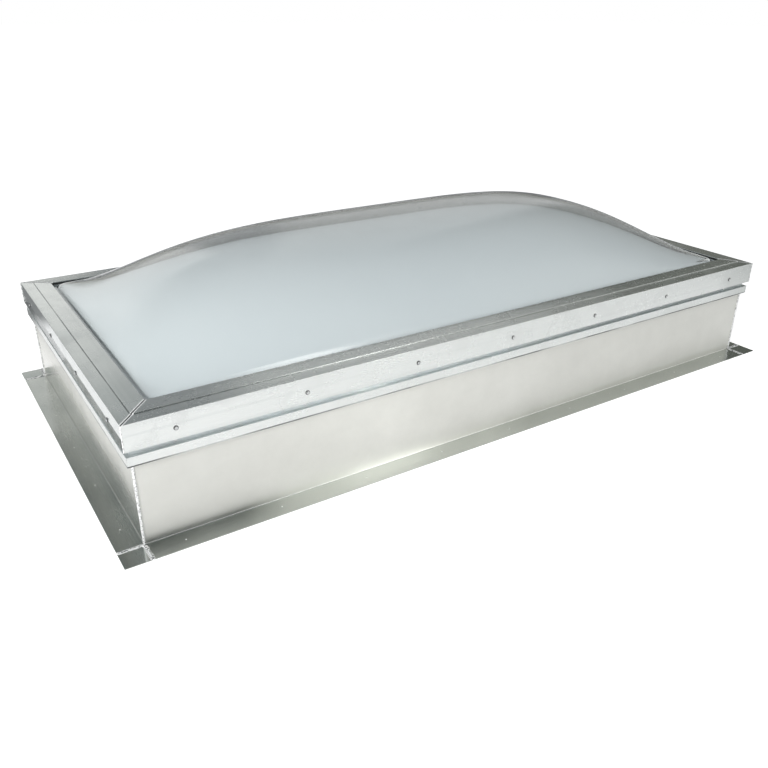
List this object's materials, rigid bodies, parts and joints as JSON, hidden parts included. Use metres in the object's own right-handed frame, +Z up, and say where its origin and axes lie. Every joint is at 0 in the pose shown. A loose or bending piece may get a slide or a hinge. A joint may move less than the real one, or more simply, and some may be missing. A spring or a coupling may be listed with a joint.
{
  "type": "roof skylight",
  "caption": "Fixed roof skylight with a clear outer dome over a white inner dome, held by a mitred aluminium retainer on a welded self-flashing sheet curb with a roof flange.",
  "frame": {"origin": "centre of the curb, on the underside of the roof flange", "axes": "+X along the long side, +Z up through the dome, the front of the picture at -Y"},
  "size_m": [2.584, 1.365, 0.6081],
  "materials": {
    "curb_sheet": "mill finish sheet",
    "weld_metal": "as welded, rippled",
    "frame_extrusion": "mill finish extrusion",
    "retainer_extrusion": "mill finish extrusion",
    "fixing_metal": "bright",
    "washer_rubber": "matt black",
    "gasket_rubber": "matt black",
    "spacer_foam": "light grey closed-cell strip",
    "white_acrylic": "translucent white, glossy",
    "clear_acrylic": "clear, glossy"
  },
  "bodies": {
    "root": {"curb_wall_front": "curb_sheet", "curb_wall_back": "curb_sheet", "curb_wall_left": "curb_sheet", "curb_wall_right": "curb_sheet", "flange_corner_front_left": "curb_sheet", "flange_corner_front_right": "curb_sheet", "flange_corner_back_left": "curb_sheet", "flange_corner_back_right": "curb_sheet", "corner_weld_front_left": "weld_metal", "corner_weld_front_right": "weld_metal", "corner_weld_back_left": "weld_metal", "corner_weld_back_right": "weld_metal", "frame_rail_front": "frame_extrusion", "frame_rail_back": "frame_extrusion", "frame_rail_left": "frame_extrusion", "frame_rail_right": "frame_extrusion", "frame_rivets_front": "fixing_metal", "frame_rivets_back": "fixing_metal", "frame_rivets_left": "fixing_metal", "frame_rivets_right": "fixing_metal", "bedding_gasket": "gasket_rubber", "inner_dome": "white_acrylic", "spacer_gasket": "spacer_foam", "outer_dome": "clear_acrylic", "clamp_gasket": "gasket_rubber", "retainer_front": "retainer_extrusion", "retainer_back": "retainer_extrusion", "retainer_left": "retainer_extrusion", "retainer_right": "retainer_extrusion", "retainer_weld_front_left": "weld_metal", "retainer_weld_front_right": "weld_metal", "retainer_weld_back_left": "weld_metal", "retainer_weld_back_right": "weld_metal", "retainer_washers_front": "washer_rubber", "retainer_washers_back": "washer_rubber", "retainer_washers_left": "washer_rubber", "retainer_washers_right": "washer_rubber", "retainer_screws_front": "fixing_metal", "retainer_screws_back": "fixing_metal", "retainer_screws_left": "fixing_metal", "retainer_screws_right": "fixing_metal"}
  },
  "joints": []
}
